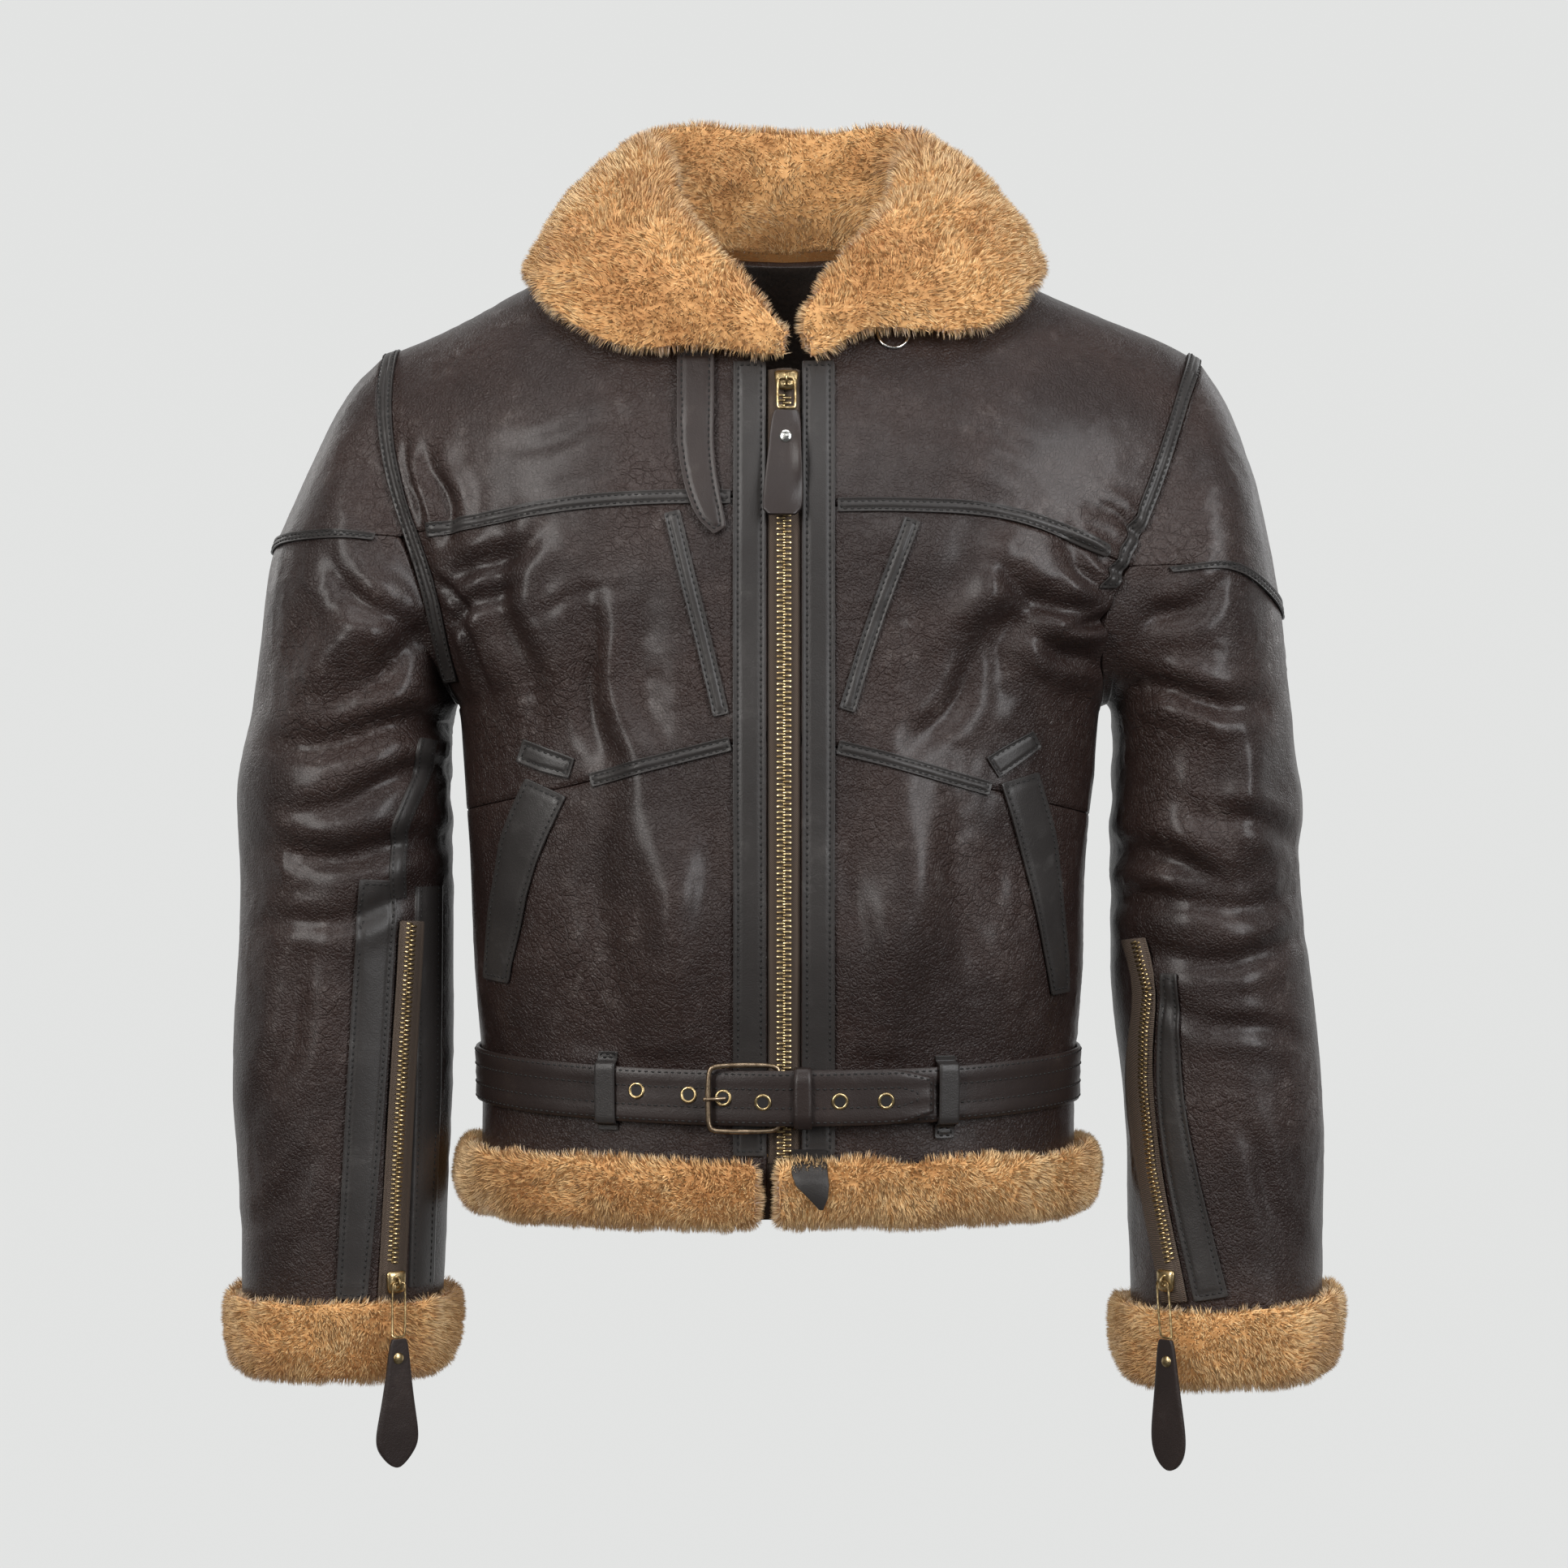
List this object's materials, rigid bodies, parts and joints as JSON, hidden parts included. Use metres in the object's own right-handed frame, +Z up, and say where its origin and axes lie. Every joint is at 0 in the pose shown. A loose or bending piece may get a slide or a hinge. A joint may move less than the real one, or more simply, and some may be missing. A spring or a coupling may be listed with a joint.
{
  "type": "sheepskin flying jacket",
  "caption": "Zipped sheepskin jacket with a turned-down fur collar, fur hem and cuffs, laid seam strips, belt with buckle, slanting pockets and zipped cuffs.",
  "frame": {"origin": "between the shoulders, at the height of the neck points, where the wearer's shoulders carry it", "axes": "+Z up, front towards -Y, +X towards the wearer's left"},
  "size_m": [0.7292, 0.2795, 0.8774],
  "materials": {
    "sheepskin": "dark brown grained sheepskin leather, semi-gloss and finely creased",
    "strip": "smooth dark grey-brown leather with worn edges",
    "fur": "dense ginger sheep's pile",
    "brass": "antique brass",
    "nickel": "nickel plate"
  },
  "bodies": {
    "jacket": {"yoke_r": "sheepskin", "yoke_l": "sheepskin", "chest_r": "sheepskin", "chest_l": "sheepskin", "waist_r": "sheepskin", "waist_l": "sheepskin", "back": "sheepskin", "sleeve_cap_r": "sheepskin", "sleeve_cap_l": "sheepskin", "sleeve_r": "sheepskin", "sleeve_l": "sheepskin", "collar": "fur", "hem_fur": "fur", "cuff_fur_r": "fur", "cuff_fur_l": "fur", "placket_r": "strip", "placket_l": "strip", "yoke_strip_r": "strip", "yoke_strip_l": "strip", "chest_strip_r": "strip", "chest_strip_l": "strip", "waist_strip_r": "strip", "waist_strip_l": "strip", "armhole_strip_r": "strip", "armhole_strip_l": "strip", "sleeve_band_r": "strip", "sleeve_band_l": "strip", "cuff_facing_r": "strip", "cuff_facing_l": "strip", "pocket_welt_r": "strip", "pocket_welt_l": "strip", "pocket_tab_r": "strip", "pocket_tab_l": "strip", "throat_strap": "strip", "belt": "strip", "belt_keeper": "strip", "belt_loop_r": "strip", "belt_loop_l": "strip", "buckle": "brass", "buckle_prong": "brass", "d_ring": "nickel", "d_ring_loop": "strip", "front_zip": "brass", "front_slider": "brass", "cuff_zip_r": "brass", "cuff_zip_l": "brass", "cuff_slider_r": "brass", "cuff_slider_l": "brass"},
    "front_puller": {"front_link": "brass", "front_pull": "strip"},
    "cuff_puller_r": {"cuff_link_r": "brass", "cuff_pull_r": "strip"},
    "cuff_puller_l": {"cuff_link_l": "brass", "cuff_pull_l": "strip"}
  },
  "joints": [
    {"name": "front_pull_swing", "type": "hinge", "parent": "jacket", "child": "front_puller", "pos_m": [0.0015, -0.12224, -0.10734], "axis": [-1, 0, 0], "range_deg": [0, 90]},
    {"name": "cuff_pull_swing_r", "type": "hinge", "parent": "jacket", "child": "cuff_puller_r", "pos_m": [-0.2438, -0.06863, -0.67359], "axis": [-0.816, -0.5781, 0], "range_deg": [0, 140]},
    {"name": "cuff_pull_swing_l", "type": "hinge", "parent": "jacket", "child": "cuff_puller_l", "pos_m": [0.24011, -0.0623, -0.67358], "axis": [-0.7247, 0.6891, 0], "range_deg": [0, 140]}
  ]
}
